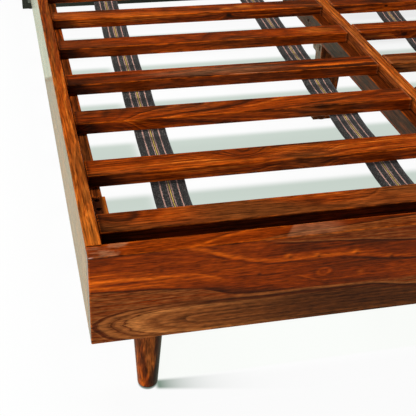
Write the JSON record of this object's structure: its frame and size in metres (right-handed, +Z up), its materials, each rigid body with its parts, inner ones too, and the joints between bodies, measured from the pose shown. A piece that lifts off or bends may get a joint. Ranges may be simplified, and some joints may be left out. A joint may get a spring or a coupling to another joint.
{
  "type": "slatted bed frame",
  "caption": "Low wooden bed frame on tapered legs: slats on ledgers beside a centre beam, webbing straps beneath, and a dark framed headboard standing on the floor.",
  "frame": {"origin": "middle of the footprint, on the floor", "axes": "+Z up, -Y towards the foot end, +X to the right seen from the foot end"},
  "size_m": [1.63, 2.053, 0.96],
  "materials": {
    "rail_wood": "satin lacquer",
    "slat_wood": "satin lacquer",
    "ledger_wood": "satin lacquer",
    "leg_wood": "satin lacquer",
    "glide_plastic": "matt",
    "webbing": "woven, striped",
    "headboard_frame": "satin stain",
    "headboard_panel": "satin stain",
    "steel": "zinc plated"
  },
  "bodies": {
    "root": {"foot_rail": "rail_wood", "side_rail_left": "rail_wood", "side_rail_right": "rail_wood", "centre_board": "rail_wood", "slat_left_01": "slat_wood", "slat_left_02": "slat_wood", "slat_left_03": "slat_wood", "slat_left_04": "slat_wood", "slat_left_05": "slat_wood", "slat_left_06": "slat_wood", "slat_left_07": "slat_wood", "slat_left_08": "slat_wood", "slat_left_09": "slat_wood", "slat_left_10": "slat_wood", "slat_right_01": "slat_wood", "slat_right_02": "slat_wood", "slat_right_03": "slat_wood", "slat_right_04": "slat_wood", "slat_right_05": "slat_wood", "slat_right_06": "slat_wood", "slat_right_07": "slat_wood", "slat_right_08": "slat_wood", "slat_right_09": "slat_wood", "slat_right_10": "slat_wood", "side_ledger_left": "ledger_wood", "side_ledger_right": "ledger_wood", "centre_ledger_left": "ledger_wood", "centre_ledger_right": "ledger_wood", "corner_block_left": "ledger_wood", "corner_block_right": "ledger_wood", "leg_block_left": "ledger_wood", "leg_block_right": "ledger_wood", "support_leg": "leg_wood", "front_leg_left": "leg_wood", "front_leg_right": "leg_wood", "corner_dowels": "leg_wood", "front_leg_glides": "glide_plastic", "support_leg_glide": "glide_plastic", "headboard_glides": "glide_plastic", "strap_left_outer": "webbing", "strap_left_inner": "webbing", "strap_right_inner": "webbing", "strap_right_outer": "webbing", "headboard_post_left": "headboard_frame", "headboard_post_right": "headboard_frame", "headboard_top_rail": "headboard_frame", "headboard_mid_rail": "headboard_frame", "headboard_bottom_rail": "headboard_frame", "headboard_panel": "headboard_panel", "beam_hanger_foot": "steel", "beam_hanger_head": "steel", "leg_hanger_bolts": "steel", "bed_bolts": "steel", "barrel_nuts": "steel", "ledger_screws": "steel", "pocket_screws": "steel", "leg_block_screws": "steel", "hanger_screws": "steel", "strap_nails": "steel"}
  },
  "joints": []
}
